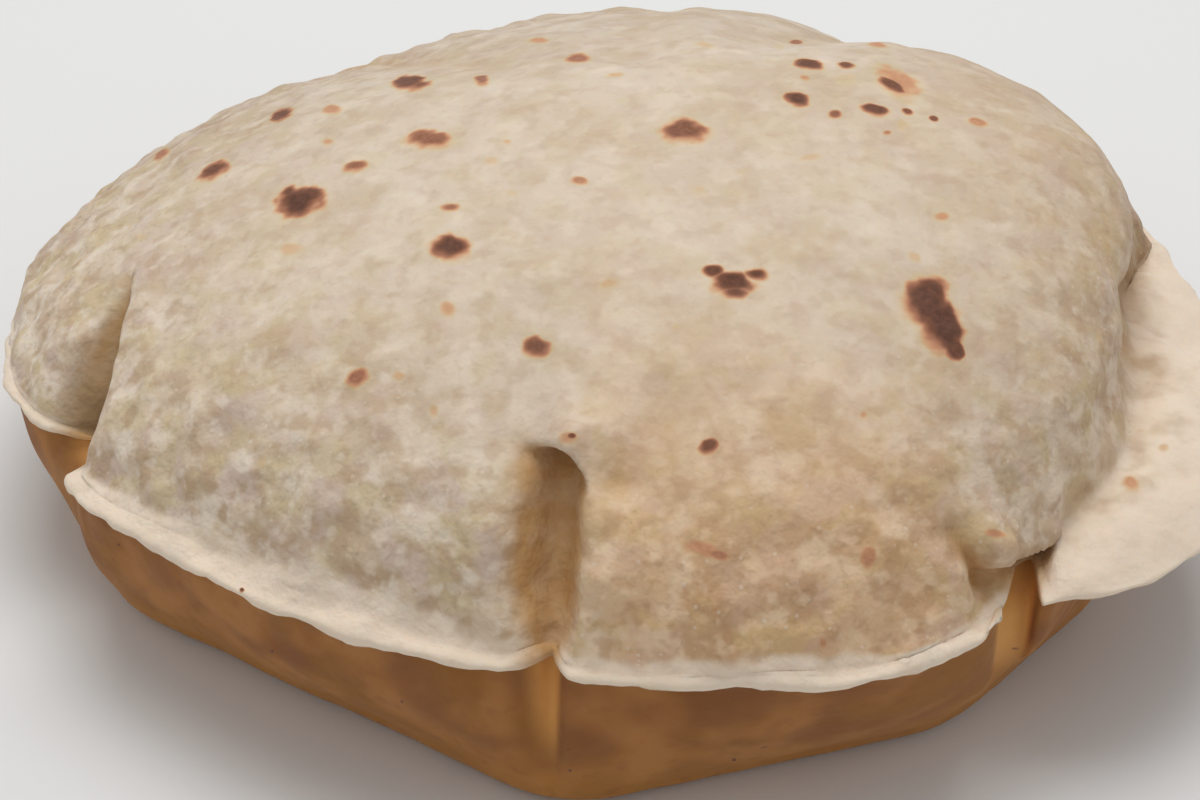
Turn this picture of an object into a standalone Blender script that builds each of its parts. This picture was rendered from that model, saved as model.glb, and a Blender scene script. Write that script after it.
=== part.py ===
"""A phulka: one round of flatbread dough, rolled thin and blown up by its own steam.

The bread is a single closed body. Its two skins part from a seam that runs all the way round and swell:
the upper skin into a high dome, the lower one into a shallow bowl with a flat spot to rest on. The seam
stands out as a thin lip, wide enough on the right to hang as a flap. Where the edge was too long for
the dome it gathered into folds, with a bulging lobe between each two.

Metres, +Z up. The origin is on the resting face, under the middle of the bread's box. Sizes below are in
millimetres, and bearings in degrees: 0 is to the right (+X), 90 is to the back (+Y).
"""

import copy
import functools
import math

import bmesh
import bpy
from mathutils import Vector

MM = 0.001
UP = Vector((0.0, 0.0, 1.0))

# The dome
CROWN_HEIGHT = 63.6
CROWN_OFFSET = Vector((13.0, 6.0, 0.0))  # where the top lies, from the middle of the seam
CROWN_DRIFT = 1.6  # how late the sections lean over towards it
BROADNESS = 24.0  # degrees over which the lobes even out, higher up the dome
LOBE_HEIGHT = 11.0  # how high up the lobes still show
ROOT_FLARE = 2.6  # how softly the dome's wall turns out into the lip
FLARE_SHARE = 0.5  # the most of the lip's width that this takes
FLARE_HEIGHT = 1.6

# The seam and its lip
LIP_THICKNESS = 1.5
FLAP_THICKNESS = 2.2
FLAP_WIDTHS = (6.0, 16.0)  # a lip up to the first width is no flap, one from the second is all flap
FLAP_FALL = 0.16  # how far the flap drops to its edge, for each millimetre of its width
FLAP_PUFF = 1.8  # how far the flap's upper face bulges

# The lower skin
FOOT_ROUNDING = 6.0
FOOT_TURN = math.radians(74.0)
LOWER_BULGE = 2.2
UNDER_SHARE = 0.6  # how far out under the lip the lower skin joins it, as a share of the lip's width
UNDER_REACH = 9.0  # the width from which this no longer grows
UNDER_MARGIN = 1.6  # the least that the lip stands out past it

# Sections round the bread: bearing, how far the dome's wall stands from the middle, how far the edge of
# the lip reaches, how high the seam lies, and how full the dome is (2 is an ellipse, less is a cone)
SECTIONS = (
    (13, 84.0, 87.5, 29.0, 2.7),
    (3, 76.5, 88.3, 29.5, 2.7),
    (-6, 73.5, 90.8, 29.5, 2.8),
    (-20, 73.5, 96.5, 29.5, 2.7),
    (-31, 76.0, 98.0, 29.0, 2.5),
    (-41, 79.3, 95.0, 28.5, 2.2),
    (-49.5, 82.0, 87.8, 28.3, 2.1),
    (-55, 83.8, 88.3, 28.5, 2.1),
    (-64, 84.8, 88.2, 28.0, 2.1),
    (-70, 83.6, 87.2, 28.0, 2.1),
    (-77, 82.0, 85.0, 28.0, 2.1),
    (-89, 79.3, 81.6, 28.0, 2.1),
    (-101, 76.5, 80.8, 28.0, 2.1),
    (-120, 74.6, 80.2, 28.0, 2.1),
    (-135, 75.0, 80.6, 28.0, 2.0),
    (-147, 78.8, 83.8, 28.0, 1.9),
    (-158, 79.5, 82.5, 27.5, 1.8),
    (-168, 84.2, 87.0, 27.0, 1.7),
    (179, 85.9, 87.3, 27.0, 1.65),
    (166, 86.0, 87.3, 27.0, 1.70),
    (146, 83.5, 86.0, 27.0, 1.45),
    (126, 81.0, 83.0, 27.0, 1.30),
    (104, 82.0, 84.5, 27.0, 1.50),
    (80, 79.5, 82.0, 27.5, 1.50),
    (66, 81.0, 83.5, 28.0, 1.65),
    (48, 79.5, 81.5, 28.5, 1.50),
    (28, 81.0, 83.5, 29.0, 1.55),
)

# Corners of the face it rests on: bearing, and distance from the middle
FOOT_CORNERS = (
    (-152, 79.0),
    (-94, 79.0),
    (-53, 79.0),
    (-25, 81.0),
    (4, 75.0),
    (48, 72.0),
    (92, 73.0),
    (138, 73.0),
    (-176, 80.0),
)
CORNER_SOFTNESS = 5.0  # degrees over which a corner is rounded

# Folds, each a tuck in the wall that runs up from the seam: its bearing at its mouth and how far out that
# is, the turn of its depth from straight inwards, its lean to the right for each millimetre up and how
# fast that grows, its depth at the seam and above it, half the width of its floor at the seam and above
# it, the widths of its left and right flanks, how high above the seam it ends, how much lower it ends for
# each millimetre to the left and to the right of its middle, the height over which its top closes, and
# what share of its depth the lower skin has. Left and right are as seen from outside.
FOLDS = (
    {"bearing": -154.4, "mouth": 84.0, "turn": 0.0, "lean": -0.25, "bend": -0.0035, "depth": (10.0, 12.0),
     "floor": (0.0, 0.0), "flanks": (5.0, 2.0), "top": 16.3, "falls": (0.7, 0.0), "closing": 3.5, "below": 0.15},
    {"bearing": -94.4, "mouth": 80.0, "turn": 0.0, "lean": 0.05, "bend": 0.0, "depth": (5.0, 9.5),
     "floor": (0.0, 1.2), "flanks": (3.8, 2.0), "top": 20.3, "falls": (-0.14, 0.5), "closing": 3.6, "below": 0.8},
    {"bearing": -52.8, "mouth": 88.0, "turn": -46.0, "lean": 0.0, "bend": 0.0, "depth": (13.0, 10.0),
     "floor": (1.8, 1.8), "flanks": (1.5, 1.4), "top": 3.6, "falls": (-0.7, 0.8), "closing": 3.0, "below": 0.3},
    {"bearing": 126.0, "mouth": 82.0, "turn": 0.0, "lean": 0.15, "bend": 0.0, "depth": (5.0, 6.0),
     "floor": (0.0, 0.0), "flanks": (5.0, 7.0), "top": 11.0, "falls": (0.8, 0.8), "closing": 3.0, "below": 0.6},
    {"bearing": 79.0, "mouth": 82.0, "turn": 0.0, "lean": -0.15, "bend": 0.0, "depth": (5.0, 6.0),
     "floor": (0.0, 0.0), "flanks": (6.0, 3.0), "top": 10.0, "falls": (0.6, 0.6), "closing": 3.0, "below": 0.6},
    {"bearing": 48.0, "mouth": 81.0, "turn": 0.0, "lean": 0.05, "bend": 0.0, "depth": (6.0, 6.0),
     "floor": (0.0, 0.0), "flanks": (4.0, 6.0), "top": 11.0, "falls": (0.8, 0.8), "closing": 3.0, "below": 0.6},
)
FLANK_CURVE = 1.5  # 1 is a tuck with a sharp bottom, 2 a round one
FOLD_OPENING = 8.0  # height over which a fold reaches its full depth
FOLD_REACH = 50.0  # how far from its mouth a fold can pull the skin
BELOW_LIP = 5.0  # how far below the seam a fold has come down to the lower skin's share
BELOW_END = (4.0, 28.0)  # how far below the seam it starts to fade out, and where it ends

# Softer creases in the dome, from one place to another: bearing and height above the seam where it is
# deepest and where it fades, then depth and half width
FURROWS = (
    ((-88.3, 18.8), (-82, 24.5), 1.6, 3.2),
    ((-99, 20), (-106, 25), 0.9, 5.0),
    ((-53.6, 3), (-55.9, 10.2), 3.2, 1.7),
    ((126, 8), (127, 30), 2.2, 7.0),
    ((79, 9), (78, 34), 2.4, 6.0),
    ((48, 9), (49, 30), 2.2, 7.0),
    ((-13, 6), (8, 14), 2.4, 6.0),
    ((-14.5, 7), (-13.5, 22), 1.8, 4.5),
    ((-117.5, 7.6), (-115.5, 7.6), 1.0, 3.2),
)
FURROW_FADING = 0.6  # the share of its depth that a crease loses on its way

# Knobs where the skin stands out over the top of a fold: bearing, height above the seam, lift, half width
KNOBS = (
    (-93.8, 20.8, 2.4, 3.6),
    (-51.6, 6.5, 2.0, 3.0),
    (126, 12, 1.0, 4.0),
    (78, 12, 1.0, 4.0),
)

# Columns and rows of the mesh; the rows go from the middle of the base up to the crown
COLUMNS = 160
ROWS = (
    ("base", 2),
    ("foot", 3),
    ("lower wall", 5),
    ("lip underside", 4),
    ("lip edge", 2),
    ("lip top", 4),
    ("dome", 22),
)
BASE, FOOT, LOWER_WALL, LIP_UNDERSIDE, LIP_EDGE, LIP_TOP, DOME = range(len(ROWS))
FOLD_CROWDING = 3.5  # how many more columns a fold gets than its share
FOLD_SPREAD = 4.5  # degrees
LEAN_SPREAD = 30.0  # degrees over which the columns beside a leaning fold lean with it
TURN_SPREAD = 12.0  # degrees over which the columns beside a turned fold turn with it
TURN_REACH = 12.0  # how far in and out they keep turning
ROW_CROWDING = 1.25  # how much closer together the dome's rows lie by the seam
BEARING_STEP = 0.05  # degrees between the sections that are worked out

DOUGH_COLOUR = (0.60, 0.48, 0.34, 1.0)
DOUGH_ROUGHNESS = 0.75


def smooth_step(low, high, value):
    """0 up to low, 1 from high, and an S curve between them."""
    t = min(max((value - low) / (high - low), 0.0), 1.0)
    return t * t * (3 - 2 * t)


def turn_between(bearing, other):
    """Degrees from one bearing to another, the short way round."""
    return (other - bearing + 180.0) % 360.0 - 180.0


def heading(bearing):
    """The level direction of a bearing."""
    return Vector((math.cos(math.radians(bearing)), math.sin(math.radians(bearing)), 0.0))


def neighbours(ring, bearing, before, after):
    """The rows of a ring on each side of a bearing."""
    ring = sorted(ring, key=lambda row: row[0] % 360.0)
    following = sum(row[0] % 360.0 <= bearing % 360.0 for row in ring)
    return [ring[(following + k) % len(ring)] for k in range(-before, after)]


def sizes_at(bearing):
    """The sizes of SECTIONS at any bearing, on a smooth closed curve through them."""
    picks = neighbours(SECTIONS, bearing, 2, 2)
    turns = [turn_between(bearing, row[0]) for row in picks]
    span = turns[2] - turns[1]
    t = -turns[1] / span
    sizes = []
    for p in zip(*picks):
        slope_in = (p[2] - p[0]) / (turns[2] - turns[0]) * span
        slope_out = (p[3] - p[1]) / (turns[3] - turns[1]) * span
        start, end = p[1], p[2]
        curve = start + t * slope_in
        curve += t**2 * (3 * (end - start) - 2 * slope_in - slope_out)
        curve += t**3 * (2 * (start - end) + slope_in + slope_out)
        sizes.append(curve)
    return sizes[1:]


def straight_foot(bearing):
    """Distance to the straight side of the resting face that this bearing crosses."""
    near, far = neighbours(FOOT_CORNERS, bearing, 1, 1)
    to_near = math.radians(turn_between(near[0], bearing))
    to_far = math.radians(turn_between(bearing, far[0]))
    across = near[1] * math.sin(to_near) + far[1] * math.sin(to_far)
    return near[1] * far[1] * math.sin(to_near + to_far) / across


class Section:
    """The bread cut along one bearing: the sizes that its skin follows there."""

    def __init__(self, bearing):
        around = (-1.0, -0.75, -0.5, -0.25, 0.0, 0.25, 0.5, 0.75, 1.0)
        broad = [sizes_at(bearing + share * BROADNESS) for share in around]
        self.out = heading(bearing)
        self.wall, self.reach, self.seam, _ = sizes_at(bearing)
        self.broad_wall = sum(sizes[0] for sizes in broad) / len(broad)
        self.fullness = sum(sizes[3] for sizes in broad) / len(broad)
        self.foot = sum(straight_foot(bearing + share * CORNER_SOFTNESS) for share in around) / len(around)
        width = self.reach - self.wall
        self.flap = smooth_step(*FLAP_WIDTHS, width)
        self.thickness = LIP_THICKNESS + (FLAP_THICKNESS - LIP_THICKNESS) * self.flap
        self.root = self.seam + FLAP_FALL * width * self.flap
        self.flare = min(ROOT_FLARE, FLARE_SHARE * width)
        self.under = min(self.wall + UNDER_SHARE * min(width, UNDER_REACH), self.reach - UNDER_MARGIN)

    def dome(self, rise):
        """The plain dome, for a rise from 0 at the root of its wall to 1 at the crown."""
        above = (CROWN_HEIGHT - self.root) * rise
        lobe = (self.wall - self.broad_wall) * math.exp(-((above / LOBE_HEIGHT) ** 2))
        radius = (self.broad_wall + lobe) * max(1.0 - rise**self.fullness, 0.0) ** (1.0 / self.fullness)
        return self.out * radius + CROWN_OFFSET * rise**CROWN_DRIFT + UP * (self.root + above)


@functools.lru_cache(maxsize=None)
def stored_section(step):
    return Section(step * BEARING_STEP)


def section_at(bearing):
    """The section at a bearing, with the sizes of the nearest one that is worked out."""
    section = copy.copy(stored_section(round(bearing / BEARING_STEP) % round(360.0 / BEARING_STEP)))
    section.out = heading(bearing)
    return section


def on_dome(bearing, above):
    """The place on the plain dome at a bearing and a height above the seam."""
    aim = bearing
    for _ in range(4):
        section = section_at(aim)
        place = section.dome(above / (CROWN_HEIGHT - section.root))
        aim += turn_between(math.degrees(math.atan2(place.y, place.x)), bearing)
    return place


def leaning(fold, raised):
    """How far along the wall a fold has leaned at a height above the seam."""
    return fold["lean"] * raised + fold["bend"] * raised**3


def tucked(place, above):
    """How the folds pull the skin in at a place; below the seam its height above it is negative."""
    raised = max(above, 0.0)
    opened = smooth_step(0.0, FOLD_OPENING, raised)
    pull = Vector((0.0, 0.0, 0.0))
    for fold in FOLDS:
        inwards = heading(fold["bearing"] + 180.0 + fold["turn"])
        to_right = UP.cross(-inwards)
        from_mouth = place - heading(fold["bearing"]) * fold["mouth"]
        if abs(from_mouth.dot(inwards)) > FOLD_REACH:
            continue
        across = from_mouth.dot(to_right) - leaning(fold, raised)
        side = across > 0
        depth, floor = (low + (high - low) * opened for low, high in (fold["depth"], fold["floor"]))
        top = max(fold["top"] - fold["falls"][side] * abs(across), fold["closing"])
        if above >= 0:
            depth *= 1 - smooth_step(top - fold["closing"], top, above)
        else:
            share = fold["below"] + (1 - fold["below"]) * smooth_step(-BELOW_LIP, 0.0, above)
            depth *= share * smooth_step(-BELOW_END[1], -BELOW_END[0], above)
        away = max(abs(across) - floor, 0.0) / fold["flanks"][side]
        pull += inwards * depth * math.exp(-(away**FLANK_CURVE))
    return pull


FURROW_ENDS = [(on_dome(*start), on_dome(*end), depth, width) for start, end, depth, width in FURROWS]
KNOB_PLACES = [(on_dome(bearing, above), lift, width) for bearing, above, lift, width in KNOBS]


def soft_relief(place):
    """How far the furrows and knobs lift the dome at a place."""
    lift = 0.0
    for start, end, depth, width in FURROW_ENDS:
        run = end - start
        along = min(max((place - start).dot(run) / run.length_squared, 0.0), 1.0)
        off = (place - start - run * along).length / width
        lift -= depth * (1 - FURROW_FADING * along) * math.exp(-(off**2))
    for middle, rise, width in KNOB_PLACES:
        lift += rise * math.exp(-(((place - middle).length / width) ** 2))
    return lift


def leant(bearing, above):
    """The bearing that a column has come to at a height above the seam, as it follows the folds."""
    for fold in FOLDS:
        share = math.exp(-((turn_between(fold["bearing"], bearing) / LEAN_SPREAD) ** 2))
        bearing += math.degrees(leaning(fold, min(above, fold["top"])) / fold["mouth"]) * share
    return bearing


def turned(bearing, radius):
    """The bearing that a column has come to at a distance from the middle, as it follows the folds."""
    for fold in FOLDS:
        share = math.exp(-((turn_between(fold["bearing"], bearing) / TURN_SPREAD) ** 2))
        off = min(max(radius - fold["mouth"], -TURN_REACH), TURN_REACH) * math.tan(math.radians(fold["turn"]))
        bearing += math.degrees(off / fold["mouth"]) * share
    return bearing


def section_line(section, stage, t):
    """Distance from the middle and height along a section, in its parts from the base to the lip's top."""
    edge = section.reach - section.thickness / 2
    joint = section.root - section.thickness
    foot_top = FOOT_ROUNDING * (1 - math.cos(FOOT_TURN))
    turn = t * FOOT_TURN
    if stage == BASE:
        return t * (section.foot - FOOT_ROUNDING * math.sin(FOOT_TURN)), 0.0
    if stage == FOOT:
        radius = section.foot - FOOT_ROUNDING * (math.sin(FOOT_TURN) - math.sin(turn))
        return radius, FOOT_ROUNDING * (1 - math.cos(turn))
    if stage == LOWER_WALL:
        radius = section.foot + (section.under - section.foot) * t + LOWER_BULGE * math.sin(math.pi * t)
        return radius, foot_top + (joint - foot_top) * t
    if stage == LIP_UNDERSIDE:
        return section.under + (edge - section.under) * t, joint + (section.seam - section.root) * t
    if stage == LIP_EDGE:
        half = section.thickness / 2
        return edge + half * math.sin(math.pi * t), section.seam - half * (1 + math.cos(math.pi * t))
    height = section.seam + (section.root - section.seam) * t
    return edge + (section.wall - edge) * t, height + FLAP_PUFF * section.flap * math.sin(math.pi * t)


def skin(bearing, girth):
    """The point of the bread's surface at a bearing on the seam and a place along the section there.

    girth runs from 0 at the middle of the base to 7 at the crown, one whole number for each of ROWS.
    """
    stage = min(int(girth), DOME)
    t = girth - stage
    section = section_at(bearing)
    radius = section.wall if stage == DOME else section_line(section, stage, t)[0]
    bearing = turned(bearing, radius)
    section = section_at(bearing)
    if stage < DOME:
        radius, height = section_line(section, stage, t)
        place = section.out * radius + UP * height
        shape = tucked(place, min(height - section.seam, 0.0))
        if stage == LIP_TOP:
            shape += section.out * section.flare * t
        return (place + shape) * MM
    rise = math.sin(t**ROW_CROWDING * math.pi / 2) ** (2.0 / section.fullness)
    section = section_at(leant(bearing, (CROWN_HEIGHT - section.root) * rise))
    place = section.dome(rise)
    above = place.z - section.root
    shape = section.out * (section.flare * math.exp(-above / FLARE_HEIGHT))
    shape += tucked(place, above)
    up = smooth_step(0.0, 1.0, rise)
    shape += (section.out * (1 - up) + UP * up).normalized() * soft_relief(place)
    return (place + shape) * MM


def spread_columns(count):
    """Bearings of the mesh's columns, crowded together at the folds."""
    steps = 3600
    density = []
    for i in range(steps):
        bearing = i * 360.0 / steps
        crowd = [math.exp(-((turn_between(fold["bearing"], bearing) / FOLD_SPREAD) ** 2)) for fold in FOLDS]
        density.append(1.0 + FOLD_CROWDING * sum(crowd))
    total = sum(density)
    bearings, run, i = [], 0.0, 0
    for column in range(count):
        wanted = total * column / count
        while run + density[i] < wanted:
            run += density[i]
            i += 1
        bearings.append((i + (wanted - run) / density[i]) * 360.0 / steps)
    return bearings


def spread_rows():
    """Places of the mesh's rows along a section."""
    girths = [0.0]
    for stage, (_, count) in enumerate(ROWS):
        girths += [stage + (i + 1) / count for i in range(count)]
    return girths


def make_phulka():
    """The bread's mesh: a sphere whose columns and rows are laid along the sections of the skin."""
    bearings = spread_columns(COLUMNS)
    girths = spread_rows()
    rows = len(girths) - 1
    bm = bmesh.new()
    bmesh.ops.create_uvsphere(bm, u_segments=COLUMNS, v_segments=rows, radius=1.0)
    for vert in bm.verts:
        longitude = math.degrees(math.atan2(vert.co.y, vert.co.x)) % 360.0
        latitude = math.degrees(math.asin(min(max(vert.co.z, -1.0), 1.0)))
        column = round(longitude * COLUMNS / 360.0) % COLUMNS
        row = round((latitude + 90.0) * rows / 180.0)
        vert.co = skin(bearings[column], girths[row])
    low, high = ([pick(vert.co[axis] for vert in bm.verts) for axis in range(2)] for pick in (min, max))
    middle = Vector(((low[0] + high[0]) / 2, (low[1] + high[1]) / 2, 0.0))
    bmesh.ops.translate(bm, verts=bm.verts, vec=-middle)
    mesh = bpy.data.meshes.new("phulka")
    bm.to_mesh(mesh)
    bm.free()
    mesh.shade_smooth()
    return mesh


def baked_dough():
    material = bpy.data.materials.new("baked dough")
    material.use_nodes = True
    shader = material.node_tree.nodes["Principled BSDF"]
    shader.inputs["Base Color"].default_value = DOUGH_COLOUR
    shader.inputs["Roughness"].default_value = DOUGH_ROUGHNESS
    shader.inputs["Metallic"].default_value = 0.0
    return material


for old in list(bpy.data.objects):
    bpy.data.objects.remove(old, do_unlink=True)
collection = bpy.data.collections.new("phulka")
bpy.context.scene.collection.children.link(collection)
bread = bpy.data.objects.new("phulka", make_phulka())
bread.data.materials.append(baked_dough())
collection.objects.link(bread)
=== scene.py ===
import math
import random

import bmesh
import bpy
import numpy as np
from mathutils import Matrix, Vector, noise
from mathutils.bvhtree import BVHTree
from mathutils.kdtree import KDTree


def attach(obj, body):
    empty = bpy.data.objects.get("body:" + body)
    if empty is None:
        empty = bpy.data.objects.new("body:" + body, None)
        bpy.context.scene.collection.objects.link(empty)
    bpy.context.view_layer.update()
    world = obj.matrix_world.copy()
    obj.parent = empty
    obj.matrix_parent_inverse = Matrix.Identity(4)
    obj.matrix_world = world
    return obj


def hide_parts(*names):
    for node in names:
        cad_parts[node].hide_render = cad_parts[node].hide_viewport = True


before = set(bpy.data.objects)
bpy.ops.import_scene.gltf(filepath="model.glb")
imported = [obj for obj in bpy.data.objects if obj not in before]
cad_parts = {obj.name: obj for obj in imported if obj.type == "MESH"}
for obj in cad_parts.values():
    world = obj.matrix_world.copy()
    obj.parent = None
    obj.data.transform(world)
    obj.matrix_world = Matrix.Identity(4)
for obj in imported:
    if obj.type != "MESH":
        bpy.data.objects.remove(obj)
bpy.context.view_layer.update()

# The table, the lamp and the eye. The bread lies on a plain pale sheet of paper. One broad soft lamp
# hangs over it, a little behind, and white walls all round light up the shaded side.
# The eye looks down on it from the front, near enough for the far rim to look smaller.
MM = 0.001
UP = Vector((0.0, 0.0, 1.0))
EYE_RISE = math.radians(36.0)
EYE_DISTANCE = 380.0 * MM
EYE_AIM = Vector((-2.08, -25.26, 30.0)) * MM
EYE_LENS = 81.0  # and the sensor's width, in mm
EYE_SENSOR = 36.0
PICTURE_WIDTH = 1200  # in pixels, as the height
PICTURE_HEIGHT = 800

eye_back = Vector((0.0, -math.cos(EYE_RISE), math.sin(EYE_RISE)))
eye_data = bpy.data.cameras.new("eye")
eye_data.lens = EYE_LENS
eye_data.sensor_width = EYE_SENSOR
eye = bpy.data.objects.new("eye", eye_data)
eye.location = EYE_AIM + eye_back * EYE_DISTANCE
eye.rotation_euler = eye_back.to_track_quat("Z", "Y").to_euler()
bpy.context.scene.collection.objects.link(eye)
bpy.context.scene.camera = eye

LAMP_PLACE = Vector((0.0, 180.0, 755.0)) * MM
LAMP_SIDE = 520.0 * MM
LAMP_WATTS = 3.35
lamp_data = bpy.data.lights.new("overhead lamp", "AREA")
lamp_data.size = LAMP_SIDE
lamp_data.energy = LAMP_WATTS
lamp = bpy.data.objects.new("overhead lamp", lamp_data)
lamp.location = LAMP_PLACE
lamp.rotation_euler = (LAMP_PLACE - EYE_AIM).to_track_quat("Z", "Y").to_euler()
bpy.context.scene.collection.objects.link(lamp)

WALL_COLOUR = (1.0, 1.0, 1.0, 1.0)
WALL_LIGHT = 0.50
walls = bpy.data.worlds.new("white walls")
walls.use_nodes = True
wall_paint = walls.node_tree.nodes["Background"]
wall_paint.inputs["Color"].default_value = WALL_COLOUR
wall_paint.inputs["Strength"].default_value = WALL_LIGHT
bpy.context.scene.world = walls
bpy.context.scene.view_settings.view_transform = "Standard"

PAPER_HALF = 3.0  # half its side, in metres
PAPER_GAP = 0.02 * MM
PAPER_COLOUR = (0.80, 0.80, 0.79, 1.0)
PAPER_ROUGHNESS = 0.9
paper_mesh = bpy.data.meshes.new("paper")
bm = bmesh.new()
bmesh.ops.create_grid(bm, x_segments=1, y_segments=1, size=PAPER_HALF)
bmesh.ops.translate(bm, verts=bm.verts, vec=(0.0, 0.0, -PAPER_GAP))
bm.to_mesh(paper_mesh)
bm.free()
paper_finish = bpy.data.materials.new("paper")
paper_finish.use_nodes = True
paper_shader = paper_finish.node_tree.nodes["Principled BSDF"]
paper_shader.inputs["Base Color"].default_value = PAPER_COLOUR
paper_shader.inputs["Roughness"].default_value = PAPER_ROUGHNESS
paper_mesh.materials.append(paper_finish)
paper = bpy.data.objects.new("paper", paper_mesh)
bpy.context.scene.collection.objects.link(paper)

# The puffed round. A ball of wheat dough is rolled out thin, and on the fire its own steam parts it into
# two skins, joined by a seam all the way round. The upper skin swells to a high dome, the lower one to a
# shallow bowl with a flat spot, and the seam stands out between them as a thin lip, wide on the right.
# Bearings are in degrees from +X, taken about the middle of the seam, and sizes in millimetres.
SEAM_MIDDLE = Vector((-2.04, -0.26, 0.0))  # where it lies from the middle of the whole bread
CROWN_HEIGHT = 63.6
CROWN_OFFSET = np.array((13.0, 6.0, 0.0))
CROWN_DRIFT = 1.6  # how late, going up, the dome's middle drifts towards the crown
BROADNESS = 24.0  # degrees over which the lobes even out, higher up the dome
LOBE_HEIGHT = 11.0  # and the height over which they do
ROOT_FLARE = 2.6  # how far the foot of the wall turns out into the lip
FLARE_SHARE = 0.5  # and at most how much of the lip's width that takes
FLARE_HEIGHT = 2.4  # over what height it does
FLAP_FLARE = 3.4  # how much farther into the widest part of the flap, out and up
FLAP_FLARE_HEIGHT = 3.6
FLARING_WIDTHS = (15.0, 22.0)  # from which width of the lip to which that sets in
LIP_THICKNESS = 1.2
FLAP_THICKNESS = 1.4
FLAP_WIDTHS = (6.0, 16.0)  # from which width to which a lip counts as a flap
FLAP_FALL = 0.16  # how far the flap falls, for each mm of its width
FLAP_PUFF = 1.8  # how far it is blown up in its middle
UNDER_SHARE = 0.6  # how much of the lip's width the lower skin reaches under it
UNDER_REACH = 9.0  # of which width, at most
UNDER_MARGIN = 1.6  # and how far it stays from the edge
FOOT_ROUNDING = 6.0  # radius between the flat spot and the lower wall
FOOT_TURN = math.radians(74.0)  # how far that rounding turns up
LOWER_BULGE = 2.2

# bearing, how far the wall stands from the middle, how far the lip reaches, height of the seam, fullness
SECTIONS = (
    (13, 84.0, 87.5, 29.0, 2.7),
    (3, 76.5, 88.3, 29.5, 2.7),
    (-6, 73.5, 90.8, 29.5, 2.8),
    (-20, 73.5, 96.5, 29.5, 2.7),
    (-31, 76.0, 98.0, 29.0, 2.5),
    (-41, 79.3, 95.0, 28.5, 2.2),
    (-49.5, 82.0, 87.8, 28.3, 2.1),
    (-55, 83.8, 88.3, 28.5, 2.1),
    (-64, 84.8, 88.2, 28.0, 2.1),
    (-70, 83.6, 87.2, 28.0, 2.1),
    (-77, 82.0, 85.0, 28.0, 2.1),
    (-89, 79.3, 81.6, 28.0, 2.1),
    (-101, 76.5, 80.8, 28.0, 2.1),
    (-120, 74.6, 80.2, 28.0, 2.1),
    (-135, 75.0, 80.6, 28.0, 2.0),
    (-147, 78.8, 83.8, 28.0, 1.9),
    (-158, 79.5, 82.5, 27.5, 1.8),
    (-168, 84.2, 87.0, 27.0, 1.7),
    (179, 85.9, 87.3, 27.0, 1.65),
    (166, 86.0, 87.3, 27.0, 1.70),
    (146, 83.5, 86.0, 27.0, 1.45),
    (126, 81.0, 83.0, 27.0, 1.30),
    (104, 82.0, 84.5, 27.0, 1.50),
    (80, 79.5, 82.0, 27.5, 1.50),
    (66, 81.0, 83.5, 28.0, 1.65),
    (48, 79.5, 81.5, 28.5, 1.50),
    (28, 81.0, 83.5, 29.0, 1.55),
)
# where the lip swelled to a soft roll: bearing, half width in degrees, and how much thicker it is there
ROLLS = ((-116.0, 17.0, 1.4), (-136.0, 12.0, 0.5), (-77.0, 9.0, 0.8))
ROLL_CLIMB = 0.5  # how far the root of the wall stands above the edge of a roll, as a share of its thickness
# corners of the flat spot: bearing, distance from the middle
FOOT_CORNERS = (
    (-152, 79.0), (-94, 79.0), (-53, 79.0), (-25, 81.0), (4, 75.0),
    (48, 72.0), (92, 73.0), (138, 73.0), (-176, 80.0),
)
CORNER_SOFTNESS = 5.0  # degrees over which they are rounded
RING = np.arange(0.0, 360.0, 0.1)  # the bearings at which sizes are known


def smooth_step(low, high, value):
    """0 below the low value, 1 above the high one, and a soft climb between."""
    t = np.clip((value - low) / (high - low), 0.0, 1.0)
    return t * t * (3 - 2 * t)


def turn_between(bearing, other):
    """Degrees from one bearing to another, the shorter way round."""
    return (other - bearing + 180.0) % 360.0 - 180.0


def heading(bearing):
    """The level direction at a bearing."""
    turn = np.radians(bearing)
    return np.stack((np.cos(turn), np.sin(turn), np.zeros_like(turn)), axis=-1)


def closed_table(rows, column):
    """Bearings and one size of a table, in turn, with two rows of each end repeated past the other."""
    pairs = sorted((row[0] % 360.0, row[column]) for row in rows)
    places, sizes = (np.array(part) for part in zip(*pairs))
    places = np.concatenate((places[-2:] - 360.0, places, places[:2] + 360.0))
    sizes = np.concatenate((sizes[-2:], sizes, sizes[:2]))
    return places, sizes, np.searchsorted(places, RING, side="right") - 1


def round_the_seam(column):
    """A size of SECTIONS all the way round, on a smooth closed curve."""
    places, sizes, i = closed_table(SECTIONS, column)
    slopes = (sizes[2:] - sizes[:-2]) / (places[2:] - places[:-2])
    span = places[i + 1] - places[i]
    t = (RING - places[i]) / span
    slope_in, slope_out = slopes[i - 1] * span, slopes[i] * span
    curve = sizes[i] + t * slope_in
    curve += t**2 * (3 * (sizes[i + 1] - sizes[i]) - 2 * slope_in - slope_out)
    return curve + t**3 * (2 * (sizes[i] - sizes[i + 1]) + slope_in + slope_out)


def at(bearing, sizes):
    """A size at any bearing, from its sizes round the ring."""
    return np.interp(bearing % 360.0, RING, sizes, period=360.0)


EVENING = 9  # how many neighbours a size is evened with


def evened(sizes, reach):
    """Sizes evened out over a reach in degrees to each side."""
    return sum(at(RING + turn, sizes) for turn in np.linspace(-reach, reach, EVENING)) / EVENING


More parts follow.
